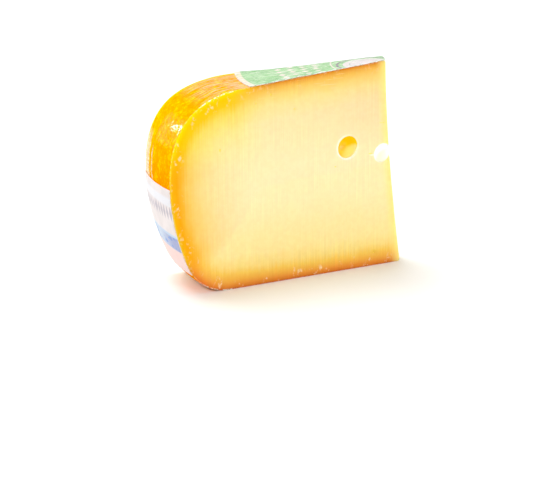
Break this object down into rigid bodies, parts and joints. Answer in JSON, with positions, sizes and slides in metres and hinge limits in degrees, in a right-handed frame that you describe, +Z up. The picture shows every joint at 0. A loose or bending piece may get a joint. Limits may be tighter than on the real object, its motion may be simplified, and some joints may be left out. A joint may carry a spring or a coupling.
{
  "type": "wedge of medium-aged gouda",
  "caption": "Upright wedge of gouda cut from a wheel, with domed top, round waxed shoulder, bulging rim, blunt thin end, eyes in the cut face and paper labels on top and rim.",
  "frame": {"origin": "centre of the part's bounding box, on the plane of the wheel's flat underside that the wedge stands on", "axes": "+X towards the thin blunt end at the wheel's middle, -X towards the rim, -Y out of the long cut face with the eyes, +Z up along the wheel's axis"},
  "size_m": [0.1508, 0.0512, 0.1209],
  "materials": {
    "cheese": "smooth pale yellow cheese paste on the cut faces, glossy yellow-orange wax rind on the shoulder and rim",
    "top_paper": "thin light green label paper with a cream edge, slightly scuffed and wrinkled",
    "rim_paper": "thin near-white label paper with a pale blue band, slightly wrinkled"
  },
  "bodies": {
    "root": {"wedge": "cheese", "top_label": "top_paper", "rim_label": "rim_paper"}
  },
  "joints": []
}
